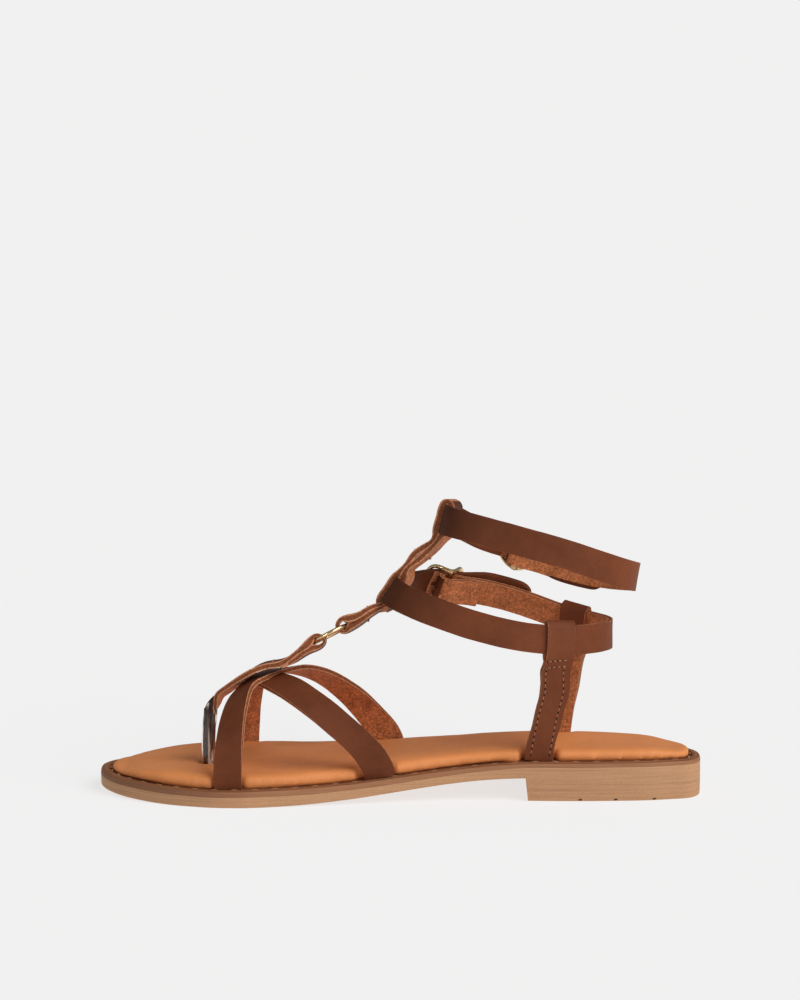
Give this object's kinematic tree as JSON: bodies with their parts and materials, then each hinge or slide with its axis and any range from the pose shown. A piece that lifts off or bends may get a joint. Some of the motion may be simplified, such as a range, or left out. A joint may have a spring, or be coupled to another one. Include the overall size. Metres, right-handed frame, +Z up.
{
  "type": "toe post sandal",
  "caption": "Flat leather toe post sandal with crossed instep straps, a T-bar with a metal ring and fastened ankle straps with buckles.",
  "frame": {"origin": "centre of the sole's outline, on the floor", "axes": "+X from toe to heel, +Y towards the outer side of the foot, +Z up"},
  "size_m": [0.255, 0.0915, 0.1249],
  "materials": {
    "brown_leather": "smooth, semi-matte",
    "tan_leather": "smooth, matte",
    "brown_midsole": "cut edge, matte",
    "tan_sole": "matte, fine lines along the side",
    "gold_metal": "polished",
    "clear_plastic": "clear, glossy"
  },
  "bodies": {
    "root": {"outsole": "tan_sole", "midsole": "brown_midsole", "insole": "tan_leather", "cross_straps": "brown_leather", "tbar_lower": "brown_leather", "tbar_upper": "brown_leather", "ankle_strap_lower": "brown_leather", "ankle_strap_upper": "brown_leather", "quarter_strap_medial": "brown_leather", "quarter_strap_lateral": "brown_leather", "post_sleeve": "clear_plastic", "ring": "gold_metal", "buckle_lower": "gold_metal", "buckle_upper": "gold_metal", "prong_lower": "gold_metal", "prong_upper": "gold_metal"}
  },
  "joints": []
}
